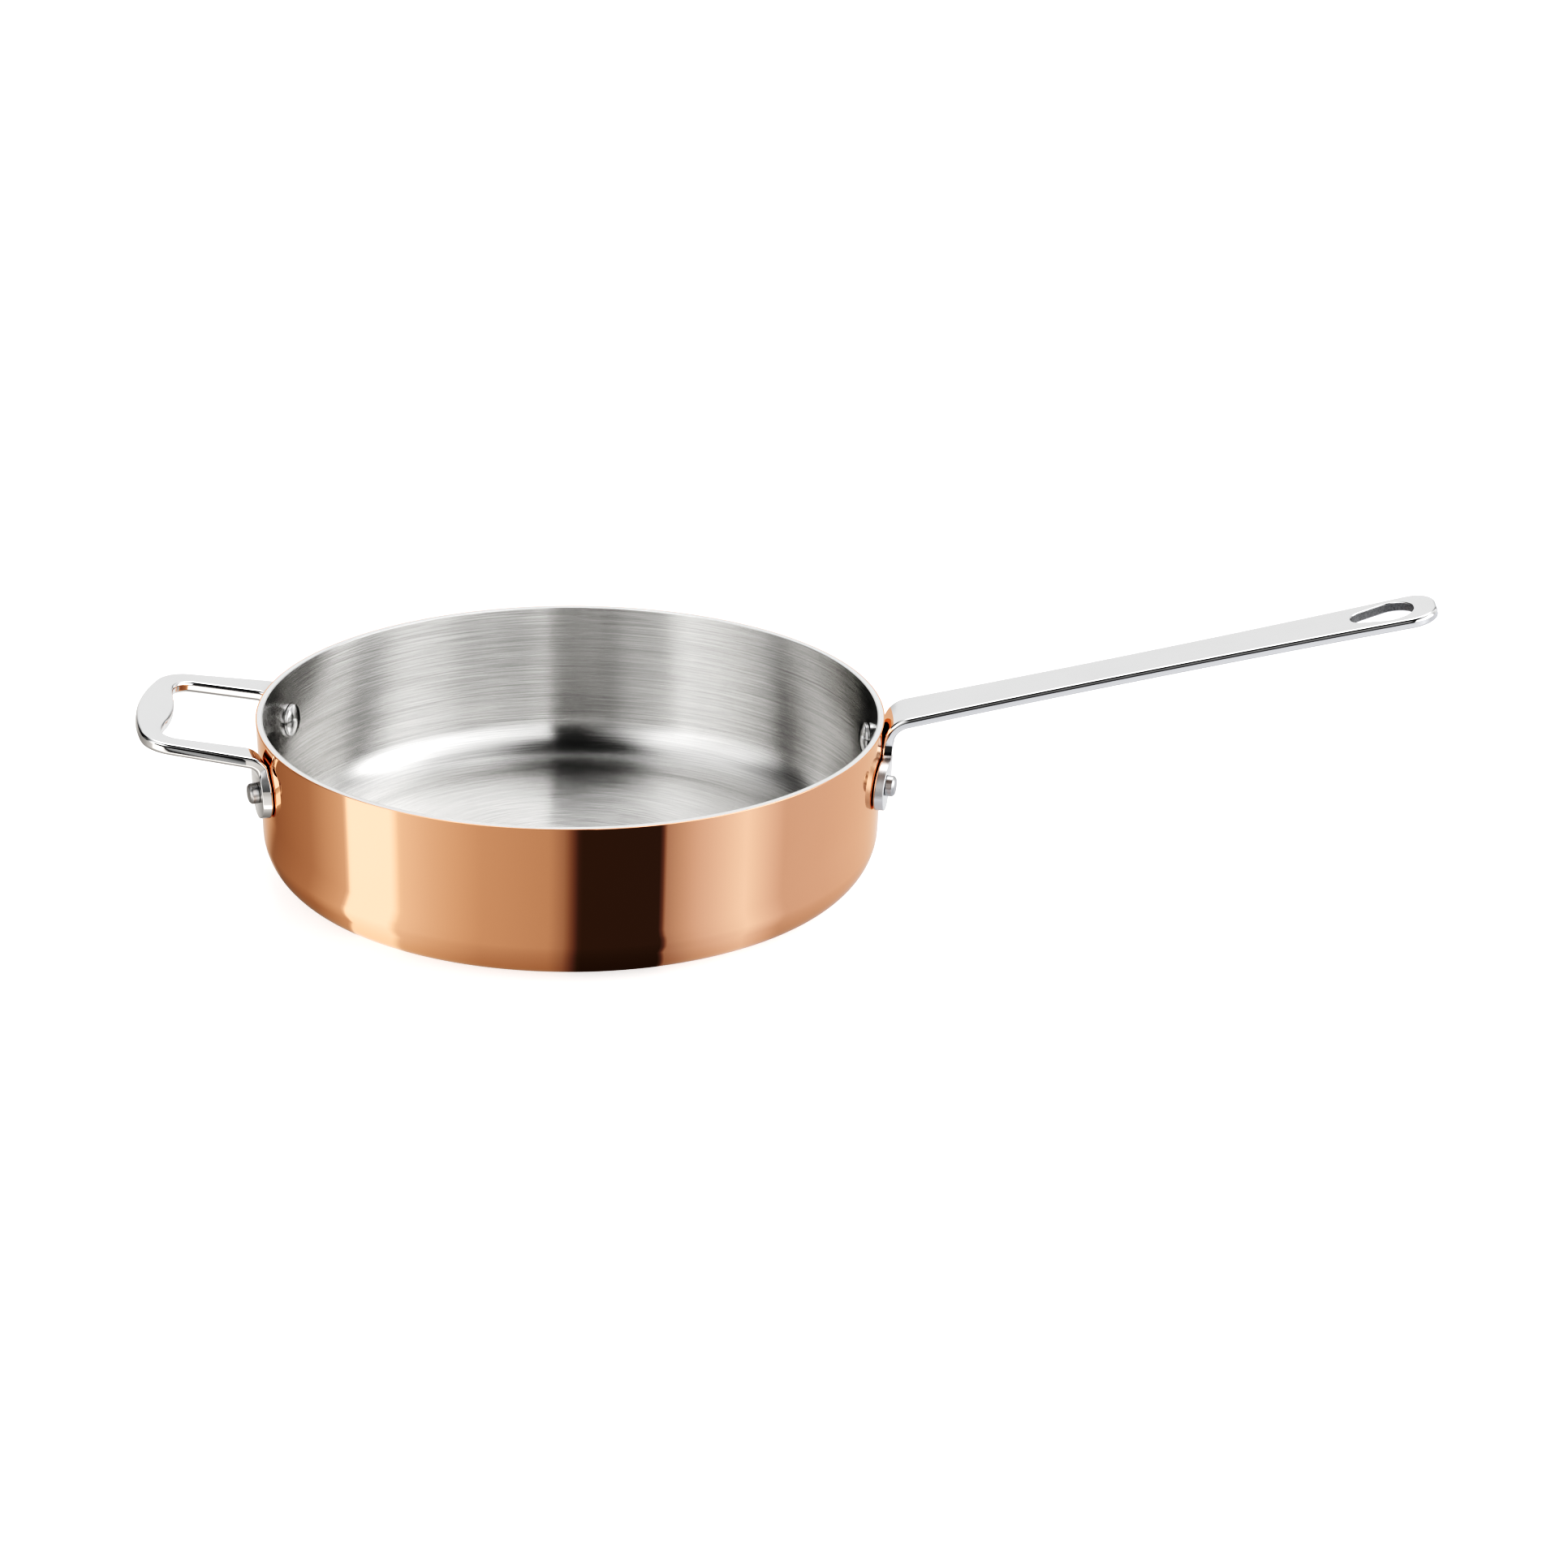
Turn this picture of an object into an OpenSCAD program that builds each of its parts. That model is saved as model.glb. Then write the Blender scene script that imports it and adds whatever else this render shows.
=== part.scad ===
// Saute pan: a clad pan body with a long handle on one side and a loop handle on the other.
// Millimetres. The origin is the centre of the base, on the surface the pan stands on.
// +Z is up, the long handle points along +X and the loop handle along -X.

/* [Pan body] */
// Outer diameter at the rim
rim_d = 266; // [200:1:340]
// Height of the rim above the base
pan_h = 70.9; // [60:0.1:95]
// Outward lean of the wall from upright, in degrees
wall_lean = 2.5; // [0:0.1:4]
// Outer radius of the curve between base and wall
corner_r = 22.2; // [15:0.1:30]
// Thickness of the copper outer ply
copper_t = 0.5; // [0.3:0.05:1]
// Thickness of the aluminium core ply
core_t = 1.9; // [1:0.1:3]
// Thickness of the steel inner ply
liner_t = 0.6; // [0.3:0.05:1.2]

/* [Rivets] */
// Depth of every rivet below the rim
rivet_below_rim = 20.8; // [19:0.1:26]
// Diameter of the shank
shank_d = 6; // [4:0.1:7]
// Diameter of the head inside the pan
head_d = 13.8; // [10:0.1:18]
// Thickness of the head at its edge
head_edge_t = 1.4; // [0.6:0.1:2]
// Rise of the dome above the edge of the head
head_dome_h = 1.7; // [1:0.1:3.5]
// Diameter of the tail outside the flange
tail_d = 8.8; // [7:0.1:11]
// How far the tail stands out of the flange
tail_h = 3.8; // [2:0.1:6]
// Chamfer round the end of the tail
tail_chamfer = 1; // [0.2:0.1:1.5]

/* [Long handle] */
// Thickness of the cast bar and its flange
long_t = 4.2; // [3:0.1:6]
// Depth of the top of the flange below the rim
long_bend_below_rim = 8.6; // [8:0.1:12]
// Inner radius of the bend between flange and bar
long_bend_r = 8; // [5:0.1:14]
// Slope of the bar above level, in degrees
long_slope = 12.8; // [5:0.1:20]
// Length of the bar from the bend to the tip
long_len = 227; // [180:0.1:300]
// Width of the bar at its narrowest
waist_w = 24.4; // [18:0.1:30]
// Distance of the narrowest place from the bend
waist_at = 88; // [70:1:110]
// Width of the bar at the tip
tip_w = 30; // [28:0.1:40]
// Radius of the two corners of the tip
tip_r = 11.5; // [6:0.1:13]
// Distance of each long handle rivet from the centre line
long_rivet_y = 27.2; // [24:0.1:32]
// Radius of each lobe of the flange
lobe_r = 7.5; // [6.5:0.1:8.5]
// Depth of the flange below its rivets
lobe_drop = 11.4; // [9.6:0.1:12.5]
// Radius of each shoulder above a lobe
shoulder_r = 12; // [11:0.1:14]
// Distance of a shoulder's centre below the rivets
shoulder_down = 3.9; // [2.4:0.1:5]
// Radius of the fillet between neck and shoulder
neck_fillet_r = 4.4; // [3:0.1:5]
// Width of the neck between bar and flange
neck_w = 26.6; // [22:0.1:30]
// Height of the web between the bend and the arch under it
web_h = 13; // [10:0.1:15]
// Radius of the arch between the two lobes
arch_r = 34; // [28:0.5:45]

/* [Hanging slot] */
// Distance of the slot's outer end from the tip
slot_to_tip = 9.5; // [6:0.1:14]
// Length of the slot
slot_len = 27.1; // [22:0.1:36]
// Radius of the slot's outer end
slot_big_r = 10; // [8:0.1:10.5]
// Radius of the slot's inner end
slot_small_r = 6.4; // [4:0.1:8]

/* [Loop handle] */
// Thickness of the cast loop
loop_t = 5; // [4:0.1:7]
// Thickness of its two flanges
loop_flange_t = 4.2; // [3:0.1:6]
// Depth of the top of the flanges below the rim
loop_bend_below_rim = 12.7; // [11:0.1:16]
// Inner radius of the bend between flange and leg
loop_bend_r = 3.5; // [2.5:0.1:7]
// Slope of the loop above level, in degrees
loop_slope = 7.6; // [0:0.1:15]
// How far the loop stands out from the rim
loop_out = 50.8; // [45:0.1:80]
// Radius of the lobe at the foot of each flange
loop_lobe_r = 9.2; // [8.6:0.1:10]
// Radius of the shoulder between each flange and its leg
loop_shoulder_r = 14; // [10:0.5:18]
// Distance of the shoulder's centre below the bend
loop_shoulder_down = 7.6; // [6.5:0.1:9]
// Depth of each flange below its rivet
loop_lobe_drop = 11.5; // [9.8:0.1:13]
// Width of the finger gap between the legs
gap_w = 65.6; // [60:0.1:67]
// Radius of the corners of the finger gap
gap_corner_r = 8; // [5:0.1:12]
// Depth of the grip bar beside its bulge
grip_d = 13; // [10:0.1:18]
// How far the middle of the grip bar bulges towards the pan
grip_bulge = 2.4; // [1:0.1:5]
// Half length of that bulge
grip_bulge_half = 19; // [14:0.5:24]
// Radius of the outer corners of the loop
loop_corner_r = 16; // [12:0.5:18]
// Distance of the outer corners' centres from the centre line
loop_corner_y = 27; // [24:0.1:30]
// Radius of the shallow curve at the end of the loop
loop_end_r = 107; // [70:1:200]
// How far each leg spreads towards the pan, in degrees
leg_spread = 6.4; // [3:0.1:9]

/* [Fits] */
// Gap between a flange and the wall behind it
flange_gap = 0.25; // [0.05:0.05:0.4]
// Gap under a rivet's head and under its tail
rivet_seat_gap = 0.05; // [0.02:0.01:0.2]
// Gap round a rivet's shank
shank_gap = 0.1; // [0.05:0.05:0.3]

/* [Hidden] */
$fn = 120;
big_circle_fn = 1440;
copper_colour = "#c98a62";
core_colour = "#c9ccd1";
liner_colour = "#a9abad";
handle_colour = "#d9dadb";
rivet_colour = "#b9bbbd";

// Room that a cutting solid runs past what it cuts
past = 1;
// How far two parts of one outline run into each other
overlap = 0.4;
rim_r = rim_d / 2;
wall_t = copper_t + core_t + liner_t;
rivet_z = pan_h - rivet_below_rim;
function wall_r(z) = rim_r - (pan_h - z) * tan(wall_lean);
corner_at = [rim_r - (pan_h - corner_r * (1 - sin(wall_lean))) * tan(wall_lean)
    - corner_r * cos(wall_lean), corner_r];

// Long handle, seen in the upright plane through its centre line
long_bend_z = pan_h - long_bend_below_rim;
long_flange_r = wall_r(long_bend_z) + (flange_gap + long_t) / cos(wall_lean);
long_bend_at = [long_flange_r + long_bend_r * cos(wall_lean), long_bend_z - long_bend_r * sin(wall_lean)];
long_normal = [-sin(long_slope), cos(long_slope)];
bar_start = long_bend_at + (long_bend_r + long_t) * long_normal;

// Plan of the bar, along and across its length
tip_corner_at = long_len - tip_r;
side_chord = tip_corner_at - waist_at;
side_sagitta = (tip_w - waist_w) / 2;
side_r = (pow(side_chord, 2) + pow(side_sagitta, 2)) / (2 * side_sagitta);
slot_big_at = long_len - slot_to_tip - slot_big_r;
slot_small_at = long_len - slot_to_tip - slot_len + slot_small_r;
slot_tangent = asin((slot_big_r - slot_small_r) / (slot_big_at - slot_small_at));

// Flange of the long handle, across and up
shoulder_at = [long_rivet_y + lobe_r - shoulder_r, rivet_z - shoulder_down];
lobe_at = [long_rivet_y, rivet_z - lobe_drop + lobe_r];
fillet_y = neck_w / 2 + neck_fillet_r;
fillet_rise = sqrt(pow(shoulder_r + neck_fillet_r, 2) - pow(shoulder_at[0] - fillet_y, 2));
fillet_at = [fillet_y, shoulder_at[1] + fillet_rise];
arch_at = [0, long_bend_z - web_h - arch_r];

// Loop handle, seen in the upright plane through the pan's centre
loop_bend_z = pan_h - loop_bend_below_rim;
loop_flange_r = wall_r(loop_bend_z) + (flange_gap + loop_flange_t) / cos(wall_lean);
loop_bend_at = [loop_flange_r + loop_bend_r * cos(wall_lean), loop_bend_z - loop_bend_r * sin(wall_lean)];

// Plan of the loop, as if it pointed along +X
loop_tip = rim_r + loop_out;
loop_end_at = loop_tip - loop_end_r;
loop_corner_at = [loop_end_at + sqrt(pow(loop_end_r - loop_corner_r, 2) - pow(loop_corner_y, 2)),
    loop_corner_y];
loop_end_angle = atan2(loop_corner_y, loop_corner_at[0] - loop_end_at);
leg_tangent = loop_corner_at + loop_corner_r * [sin(leg_spread), cos(leg_spread)];
gap_end = loop_tip - grip_d;
bulge_r = (pow(grip_bulge_half, 2) + pow(grip_bulge, 2)) / (2 * grip_bulge);
// The inner edge of each flange is flush with the finger gap, and its rivet is halfway across it
loop_rivet_y = gap_w / 2 + loop_lobe_r;
loop_lobe_at = [loop_rivet_y, rivet_z - loop_lobe_drop + loop_lobe_r];
loop_shoulder_z = loop_bend_z - loop_shoulder_down;

// Pan body: the solid of revolution that the wall encloses at depth d inside the outer face
module body_outline(d, top) {
    union() {
        translate([0, d]) square([corner_at[0], corner_at[1] - d]);
        translate(corner_at) circle(r = corner_r - d);
        polygon([[0, corner_at[1]],
            corner_at + (corner_r - d) * [cos(wall_lean), -sin(wall_lean)],
            [wall_r(top) - d / cos(wall_lean), top],
            [0, top]]);
    }
}

module ply(outer_depth, thickness) {
    difference() {
        rotate_extrude() difference() {
            intersection() {
                body_outline(outer_depth, pan_h);
                square([rim_d, pan_h]);
            }
            intersection() {
                body_outline(outer_depth + thickness, pan_h + past);
                square([rim_d, pan_h + past]);
            }
        }
        every_shank_hole();
    }
}

module copper_shell() {
    color(copper_colour) ply(0, copper_t);
}

module aluminium_core() {
    color(core_colour) ply(copper_t, core_t);
}

module steel_liner() {
    color(liner_colour) ply(copper_t + core_t, liner_t);
}

// Rivets: local +X points out of the wall, and x = 0 is the outer face of the pan
module at_rivet(turn) {
    rotate([0, 0, turn]) translate([wall_r(rivet_z), 0, rivet_z]) rotate([0, wall_lean, 0]) children();
}

function rivet_turn(y) = asin(y / wall_r(rivet_z));

module long_turns() {
    for (side = [-1, 1]) at_rivet(side * rivet_turn(long_rivet_y)) children();
}

module loop_turns() {
    for (side = [-1, 1]) at_rivet(180 + side * rivet_turn(loop_rivet_y)) children();
}

// The hole that a shank needs through the wall and a flange of thickness t
module shank_hole(t) {
    from = -wall_t - past;
    to = flange_gap + t + past;
    translate([from, 0, 0]) rotate([0, 90, 0]) cylinder(d = shank_d + 2 * shank_gap, h = to - from);
}

module every_shank_hole() {
    long_turns() shank_hole(long_t);
    loop_turns() shank_hole(loop_flange_t);
}

module rivet(flange_t) {
    inner_r = wall_r(rivet_z) - wall_t;
    head_sagitta = inner_r - sqrt(pow(inner_r, 2) - pow(head_d / 2, 2));
    head_x = -wall_t - head_sagitta - rivet_seat_gap;
    dome_r = (pow(head_d / 2, 2) + pow(head_dome_h, 2)) / (2 * head_dome_h);
    tail_x = flange_gap + flange_t + rivet_seat_gap;
    rotate([0, 90, 0]) rotate_extrude() union() {
        translate([0, head_x - head_edge_t]) square([head_d / 2, head_edge_t]);
        intersection() {
            translate([0, head_x - head_edge_t + dome_r - head_dome_h]) circle(r = dome_r);
            translate([0, head_x - head_edge_t - head_dome_h]) square([head_d / 2, head_dome_h]);
        }
        translate([0, head_x]) square([shank_d / 2, tail_x - head_x]);
        polygon([[0, tail_x], [tail_d / 2, tail_x], [tail_d / 2, tail_x + tail_h - tail_chamfer],
            [tail_d / 2 - tail_chamfer, tail_x + tail_h], [0, tail_x + tail_h]]);
    }
}

// A wedge from the origin that covers the angles from a to b
module wedge(a, b, reach) {
    middle = (a + b) / 2;
    polygon([[0, 0], reach * [cos(a), sin(a)], 2 * reach * [cos(middle), sin(middle)],
        reach * [cos(b), sin(b)]]);
}

module ring_sector(outer, inner, a, b, fn) {
    intersection() {
        difference() {
            circle(r = outer, $fn = fn);
            circle(r = inner, $fn = fn);
        }
        wedge(a, b, 2 * outer);
    }
}

// A flange's strip beside the wall, from below its lobes up into its bend
module flange_strip(low_z, bend_z, t, back) {
    inner = back / cos(wall_lean);
    outer = (flange_gap + t) / cos(wall_lean);
    top = bend_z + overlap;
    polygon([[wall_r(low_z) + inner, low_z], [wall_r(low_z) + outer, low_z],
        [wall_r(top) + outer, top], [wall_r(top) + inner, top]]);
}

// Bend and straight plate above it, in the upright plane through the pan's centre
module bend_and_plate(at, r, t, slope, reach) {
    normal = [-sin(slope), cos(slope)];
    along = [cos(slope), sin(slope)];
    start = at + r * normal - overlap * along;
    union() {
        translate(at) ring_sector(r + t, r, 90 + slope, 180 - wall_lean, $fn);
        polygon([start, start + reach * along, start + reach * along + t * normal, start + t * normal]);
    }
}

// Long handle
module long_flange_outline() {
    difference() {
        union() {
            for (side = [-1, 1]) other_side(side) {
                translate(lobe_at) circle(r = lobe_r);
                intersection() {
                    translate(shoulder_at) circle(r = shoulder_r);
                    translate([0, shoulder_at[1]]) square([rim_r, shoulder_r]);
                }
                polygon([[0, rim_d], [neck_w / 2, rim_d],
                    [neck_w / 2, fillet_at[1]], fillet_at, shoulder_at, lobe_at, [0, lobe_at[1]]]);
            }
        }
        for (side = [-1, 1]) other_side(side) translate(fillet_at) circle(r = neck_fillet_r);
        translate(arch_at) circle(r = arch_r);
    }
}

// Mirrors a 2D outline to the other side when side is -1
module other_side(side) {
    mirror([side < 0 ? 1 : 0, 0]) children();
}

// Extrudes an outline drawn across (Y) and up (Z) along +X, from the pan's centre outwards
module across(reach) {
    rotate([90, 0, 90]) linear_extrude(height = reach) children();
}

module bar_plan() {
    union() {
        difference() {
            translate([-past, -tip_w / 2]) square([tip_corner_at + past, tip_w]);
            for (side = [-1, 1]) {
                translate([waist_at, side * (waist_w / 2 + side_r)]) circle(r = side_r, $fn = big_circle_fn);
            }
        }
        for (side = [-1, 1]) translate([tip_corner_at, side * (tip_w / 2 - tip_r)]) circle(r = tip_r);
        translate([tip_corner_at, tip_r - tip_w / 2]) square([tip_r, tip_w - 2 * tip_r]);
    }
}

module slot_plan() {
    small = [slot_small_at, 0];
    big = [slot_big_at, 0];
    up = [-sin(slot_tangent), cos(slot_tangent)];
    down = [-sin(slot_tangent), -cos(slot_tangent)];
    union() {
        translate([slot_big_at, 0]) circle(r = slot_big_r);
        translate([slot_small_at, 0]) circle(r = slot_small_r);
        polygon([small + slot_small_r * up, big + slot_big_r * up, big + slot_big_r * down,
            small + slot_small_r * down]);
    }
}

// Extrudes a plan through the bar's thickness, square to its slope
module along_bar() {
    depth = long_t + past + long_bend_r;
    translate([bar_start[0], 0, bar_start[1]]) rotate([0, -long_slope, 0])
        translate([0, 0, -depth]) linear_extrude(height = 2 * depth) children();
}

// One turned outline holds flange, bend and bar; it is cut to the flange's outline and the bar's plan
module long_handle() {
    color(handle_colour) difference() {
        intersection() {
            rotate_extrude() union() {
                flange_strip(rivet_z - lobe_drop - past, long_bend_z, long_t, flange_gap);
                bend_and_plate(long_bend_at, long_bend_r, long_t, long_slope, long_len + tip_w);
            }
            union() {
                across(long_bend_at[0]) long_flange_outline();
                along_bar() bar_plan();
            }
        }
        along_bar() slot_plan();
        long_turns() shank_hole(long_t);
    }
}

// The same point of a plan on the other side of its centre line
function across_centre(point) = [point[0], -point[1]];

// Plan of the loop, as if it pointed along +X
module loop_outer_plan() {
    inner = [0, leg_tangent[1] + leg_tangent[0] * tan(leg_spread)];
    union() {
        intersection() {
            translate([loop_end_at, 0]) intersection() {
                circle(r = loop_end_r, $fn = big_circle_fn);
                wedge(-loop_end_angle, loop_end_angle, 2 * loop_end_r);
            }
            translate([rim_r, -rim_r]) square([loop_tip, rim_d]);
        }
        translate(loop_corner_at) circle(r = loop_corner_r);
        translate(across_centre(loop_corner_at)) circle(r = loop_corner_r);
        polygon([inner, leg_tangent, loop_corner_at, across_centre(loop_corner_at),
            across_centre(leg_tangent), across_centre(inner)]);
    }
}

module gap_plan() {
    inner_y = gap_w / 2 - gap_corner_r;
    difference() {
        union() {
            translate([0, -gap_w / 2]) square([gap_end - gap_corner_r, gap_w]);
            translate([0, -inner_y]) square([gap_end, 2 * inner_y]);
            for (side = [-1, 1]) translate([gap_end - gap_corner_r, side * inner_y]) circle(r = gap_corner_r);
        }
        translate([gap_end - grip_bulge + bulge_r, 0]) circle(r = bulge_r, $fn = big_circle_fn / 2);
    }
}

module loop_flange_outline() {
    inner_y = gap_w / 2;
    for (side = [-1, 1]) other_side(side) {
        translate(loop_lobe_at) circle(r = loop_lobe_r);
        translate([inner_y, loop_lobe_at[1]])
            square([2 * loop_lobe_r, loop_shoulder_z - loop_lobe_at[1]]);
        intersection() {
            translate([inner_y + 2 * loop_lobe_r - loop_shoulder_r, loop_shoulder_z])
                circle(r = loop_shoulder_r);
            translate([inner_y, loop_shoulder_z]) square([2 * loop_lobe_r, loop_shoulder_r]);
        }
    }
}

// Loop handle, modelled along +X and turned round. The bend is thicker than the flange, so
// one cut keeps both clear of the wall
module loop_handle() {
    back = flange_gap / cos(wall_lean);
    color(handle_colour) rotate([0, 0, 180]) difference() {
        intersection() {
            rotate_extrude() intersection() {
                union() {
                    flange_strip(rivet_z - loop_lobe_drop - past, loop_bend_z, loop_flange_t, -wall_t);
                    bend_and_plate(loop_bend_at, loop_bend_r, loop_t, loop_slope, 2 * loop_out);
                }
                polygon([[wall_r(0) + back, 0], [rim_d, 0], [rim_d, rim_d], [wall_r(rim_d) + back, rim_d]]);
            }
            union() {
                translate([0, 0, loop_bend_z]) linear_extrude(height = pan_h) difference() {
                    loop_outer_plan();
                    gap_plan();
                }
                across(loop_bend_at[0]) loop_flange_outline();
            }
        }
        rotate([0, 0, 180]) loop_turns() shank_hole(loop_flange_t);
    }
}

module long_handle_rivet(side) {
    color(rivet_colour) at_rivet(side * rivet_turn(long_rivet_y)) rivet(long_t);
}

module loop_handle_rivet(side) {
    color(rivet_colour) at_rivet(180 - side * rivet_turn(loop_rivet_y)) rivet(loop_flange_t);
}

copper_shell();
aluminium_core();
steel_liner();
long_handle();
loop_handle();
long_handle_rivet(1);  // long_handle_rivet_left
long_handle_rivet(-1);  // long_handle_rivet_right
loop_handle_rivet(1);  // loop_handle_rivet_left
loop_handle_rivet(-1);  // loop_handle_rivet_right
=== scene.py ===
import bpy
import numpy as np
from mathutils import Matrix
from mathutils.geometry import delaunay_2d_cdt


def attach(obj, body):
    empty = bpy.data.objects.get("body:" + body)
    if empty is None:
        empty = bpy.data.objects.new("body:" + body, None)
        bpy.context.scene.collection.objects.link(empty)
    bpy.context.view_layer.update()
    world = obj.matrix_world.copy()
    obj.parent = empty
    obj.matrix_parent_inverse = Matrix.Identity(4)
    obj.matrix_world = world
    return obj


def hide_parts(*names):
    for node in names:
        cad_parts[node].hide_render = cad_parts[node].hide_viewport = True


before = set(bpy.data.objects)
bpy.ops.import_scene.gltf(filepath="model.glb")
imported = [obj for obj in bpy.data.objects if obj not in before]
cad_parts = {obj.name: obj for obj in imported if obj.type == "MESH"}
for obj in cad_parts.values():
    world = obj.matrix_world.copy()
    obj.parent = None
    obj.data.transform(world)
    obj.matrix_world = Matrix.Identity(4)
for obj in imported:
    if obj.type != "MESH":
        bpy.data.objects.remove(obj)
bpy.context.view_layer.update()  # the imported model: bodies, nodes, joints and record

# Lengths below are millimetres, as in the part's source, and angles are degrees.
# The long handle points along +X, the loop handle along -X, and the camera stands on the -Y side.
mm = 0.001  # one millimetre, in metres
print("frame loaded:", len(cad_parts), "nodes")

pan = {
    "rimRadius": 133.0,
    "height": 70.9,
    "wallLean": 2.5,
    "cornerRadius": 22.2,
    "copper": 0.5,
    "core": 1.9,
    "liner": 0.6,
    "rivetHeight": 50.1,
    "rimEase": 0.22,  # rounding of the rim's outer and inner edge
    "plyEase": 0.03,  # rounding where two plies meet at the rim
    "turns": 480,
}


def sine(angle):
    return np.sin(np.radians(angle))


def cosine(angle):
    return np.cos(np.radians(angle))


def wallRadius(z):
    # outer radius at height z: the rim's, less what the wall leans in on the way down
    return pan["rimRadius"] - (pan["height"] - z) * np.tan(np.radians(pan["wallLean"]))


# Shared surface work

def lengths(rows):
    return np.linalg.norm(rows, axis=1)


def unit(rows):
    return rows / lengths(rows)[:, None]


def onward(rows):
    # round a closed line, from the point before to the point after
    return np.roll(rows, -1, axis=0) - np.roll(rows, 1, axis=0)


def between(at, known, rows):
    # both columns of the rows, read off at each place
    return np.stack([np.interp(at, known, rows[:, k]) for k in (0, 1)], 1)


def arc(centre, radius, start, end, step=0.25):
    # centre + radius * (cos a, sin a), with a running evenly from start to end
    count = max(3, int(abs(np.radians(end - start)) * radius / step))
    a = np.linspace(start, end, count)
    return np.stack([centre[0] + radius * cosine(a), centre[1] + radius * sine(a)], 1)


def line(start, end, step=0.25):
    # even points from start to end
    start, end = np.array(start, float), np.array(end, float)
    count = max(2, int(np.linalg.norm(end - start) / step))
    return start + np.linspace(0, 1, count)[:, None] * (end - start)


def easedChain(corners, radii, steps=10):
    # straight lines between corners; at each inner corner an arc of its radius touches both lines.
    # The right side of the direction of travel is outside: that gives the normals.
    corners = np.array(corners, float)
    places, normals = [corners[:1]], []
    for i in range(1, len(corners) - 1):
        before, after = corners[i] - corners[i - 1], corners[i + 1] - corners[i]
        before, after = before / np.linalg.norm(before), after / np.linalg.norm(after)
        turn = np.arctan2(before[0] * after[1] - before[1] * after[0], before @ after)
        right = np.array([before[1], -before[0]])
        if not normals:
            normals.append(right[None])
        start = corners[i] - before * radii[i - 1] * np.tan(abs(turn) / 2)
        a = np.linspace(0, turn, steps + 1)
        turned = np.stack([right[0] * np.cos(a) - right[1] * np.sin(a),
                           right[0] * np.sin(a) + right[1] * np.cos(a)], 1)
        side = np.sign(turn) * radii[i - 1]
        places.append(start - side * right + side * turned)
        normals.append(turned)
    places.append(corners[-1:])
    normals.append(np.array([[after[1], -after[0]]]))
    return np.concatenate(places), np.concatenate(normals)


def denser(places, normals, longest):
    # long straight stretches of a profile get points between their ends
    gaps = lengths(np.diff(places, axis=0))
    counts = np.maximum(1, np.ceil(gaps / longest).astype(int))
    index = np.repeat(np.arange(len(gaps)), counts)
    nth = np.arange(len(index)) - np.repeat(np.cumsum(counts) - counts, counts)
    share = (nth / np.repeat(counts, counts))[:, None]
    mixed = lambda v: np.concatenate([v[index] * (1 - share) + v[index + 1] * share, v[-1:]])
    return mixed(places), mixed(normals)


def turnedSurface(places, normals, count):
    # the profile (r, z) carried round Z: x = r cos a, y = r sin a; both ends lie on the axis
    a = np.linspace(0, 2 * np.pi, count, endpoint=False)[:, None]
    around = lambda v: np.stack([v[:, 0] * np.cos(a), v[:, 0] * np.sin(a), v[:, 1] + 0 * a], 2).reshape(-1, 3)
    ends = lambda v: np.array([[0, 0, v[0, 1]], [0, 0, v[-1, 1]]])
    verts = np.concatenate([around(places[1:-1]), ends(places)])
    norms = np.concatenate([around(normals[1:-1]), ends(np.sign(normals))])
    n = len(places) - 2
    i, j = np.meshgrid(np.arange(count), np.arange(n - 1), indexing="ij")
    here, there = i * n + j, (i + 1) % count * n + j
    quads = np.stack([here, there, there + 1, here + 1], 2).reshape(-1, 4)
    k = np.arange(count)
    low = np.stack([np.full(count, count * n), (k + 1) % count * n, k * n], 1)
    high = np.stack([np.full(count, count * n + 1), k * n + n - 1, (k + 1) % count * n + n - 1], 1)
    return verts, [quads, low, high], norms


def newObject(name, data):
    thing = bpy.data.objects.new(name, data)
    bpy.context.scene.collection.objects.link(thing)
    return thing


def makePiece(name, verts, faces, normals, materials, node, faceMaterial=None):
    # verts in millimetres become one object at the origin, with a smooth normal at every vertex
    mesh = bpy.data.meshes.new(name)
    corners = np.concatenate([f.ravel() for f in faces])
    sizes = np.concatenate([np.full(len(f), f.shape[1]) for f in faces])
    mesh.vertices.add(len(verts))
    mesh.vertices.foreach_set("co", (verts * mm).astype(np.float32).ravel())
    mesh.loops.add(len(corners))
    mesh.loops.foreach_set("vertex_index", corners.astype(np.int32))
    mesh.polygons.add(len(sizes))
    mesh.polygons.foreach_set("loop_start", (np.cumsum(sizes) - sizes).astype(np.int32))
    for material in materials:
        mesh.materials.append(material)
    if faceMaterial is not None:
        mesh.polygons.foreach_set("material_index", np.asarray(faceMaterial, np.int32))
    mesh.update(calc_edges=True)
    mesh.shade_smooth()
    mesh.normals_split_custom_set_from_vertices(normals / np.maximum(lengths(normals), 1e-9)[:, None])
    mesh.validate(clean_customdata=False)
    piece = newObject(name, mesh)
    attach(piece, "root")
    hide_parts(node)


# Shader nodes and groups shared by the metals and the studio

def grey(level):
    return (level, level, level)


def feed(tree, node, values):
    # numbers and colours are set on the node's sockets, and other nodes' outputs are linked to them
    for label, value in values.items():
        if isinstance(value, tuple):
            node.inputs[label].default_value = (*value, 1.0)
        elif isinstance(value, (int, float)):
            node.inputs[label].default_value = value
        else:
            tree.links.new(value, node.inputs[label])


def mathNode(tree, operation, *values):
    node = tree.nodes.new("ShaderNodeMath")
    node.operation = operation
    feed(tree, node, dict(enumerate(values)))
    return node.outputs[0]


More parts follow.
